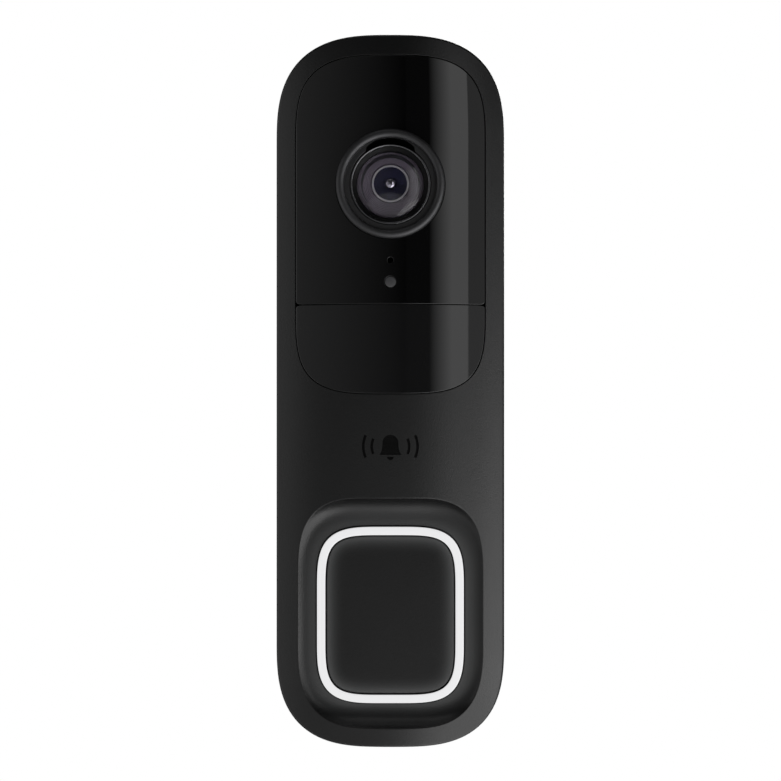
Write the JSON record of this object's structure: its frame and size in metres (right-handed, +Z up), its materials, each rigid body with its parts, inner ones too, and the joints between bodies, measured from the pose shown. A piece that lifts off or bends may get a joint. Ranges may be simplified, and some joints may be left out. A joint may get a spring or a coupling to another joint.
{
  "type": "video doorbell",
  "caption": "Black wall-mounted video doorbell with a camera window, motion-sensor window and a dished push button inside a luminous ring, on a wall bracket.",
  "frame": {"origin": "centre of the wall bracket's back face, which lies on the wall", "axes": "+Z up along the tall side, +Y into the wall, so the button faces -Y, +X to the right seen from the front"},
  "size_m": [0.044, 0.0282, 0.1356],
  "materials": {
    "shell": "fine matt grain",
    "window": "polished",
    "pir_window": "semi gloss",
    "bezel": "satin gloss",
    "lens": "coated",
    "ring_light": "diffusing, lit",
    "cap": "fine matt grain",
    "dark_part": "matt",
    "steel": "plated",
    "rubber": "matt",
    "board": "solder mask",
    "pale_plastic": "satin",
    "battery_wrap": "heat-shrink film",
    "flex": "polyimide film"
  },
  "bodies": {
    "bracket": {"mounting_bracket": "dark_part"},
    "lock_screw": {"security_screw": "steel"},
    "housing": {"front_cover": "shell", "rear_cover": "shell", "case_gasket": "rubber", "case_screw_1": "steel", "case_screw_2": "steel", "case_screw_3": "steel", "case_screw_4": "steel", "camera_window": "window", "pir_window": "pir_window", "camera_bezel": "bezel", "lens_front": "lens", "lens_retainer": "dark_part", "lens_inner": "lens", "lens_barrel": "dark_part", "lens_holder": "dark_part", "image_sensor": "dark_part", "camera_board": "board", "sensor_board": "board", "ir_led_left": "pir_window", "ir_led_right": "pir_window", "microphone": "steel", "mic_gasket": "rubber", "light_pipe": "pir_window", "light_sensor": "dark_part", "pir_sensor": "steel", "main_board": "board", "shield_can": "steel", "antenna": "pale_plastic", "battery_pack": "battery_wrap", "flat_cable": "flex", "light_ring": "ring_light", "button_seal": "rubber", "ring_board": "board", "switch_body": "dark_part", "speaker_frame": "steel", "speaker_magnet": "steel", "speaker_gasket": "rubber", "terminal_block": "board", "terminal_screw_1": "steel", "terminal_screw_2": "steel", "tamper_switch": "dark_part"},
    "button": {"button_cap": "cap"},
    "plunger": {"switch_plunger": "pale_plastic"},
    "tamper": {"tamper_plunger": "pale_plastic"},
    "ir_filter": {"filter_frame": "dark_part", "filter_glass_ir_cut": "lens", "filter_glass_clear": "lens"},
    "cone": {"speaker_cone": "dark_part"}
  },
  "joints": [
    {"name": "housing_tilt", "type": "hinge", "parent": "bracket", "child": "housing", "pos_m": [0, -0.0019, 0.0662], "axis": [-1, 0, 0], "range_deg": [0, 10]},
    {"name": "lock_screw_travel", "type": "slide", "parent": "bracket", "child": "lock_screw", "axis": [0, 0, -1], "range_m": [0, 0.005]},
    {"name": "button_press", "type": "slide", "parent": "housing", "child": "button", "axis": [0, 1, 0], "range_m": [0, 0.0005], "stiffness_N_per_m": 500},
    {"name": "switch_travel", "type": "slide", "parent": "housing", "child": "plunger", "axis": [0, 1, 0], "range_m": [0, 0.0005]},
    {"name": "tamper_travel", "type": "slide", "parent": "housing", "child": "tamper", "axis": [0, 1, 0], "range_m": [0, 0.0015]},
    {"name": "ir_filter_shift", "type": "slide", "parent": "housing", "child": "ir_filter", "axis": [-1, 0, 0], "range_m": [0, 0.006]},
    {"name": "cone_stroke", "type": "slide", "parent": "housing", "child": "cone", "axis": [0, -1, 0], "range_m": [-0.0003, 0.0003], "stiffness_N_per_m": 400}
  ],
  "couplings": [
    {"joint": "switch_travel", "follows": "button_press", "ratio": 1},
    {"joint": "tamper_travel", "follows": "housing_tilt", "m_per_rad": 0.008594}
  ]
}
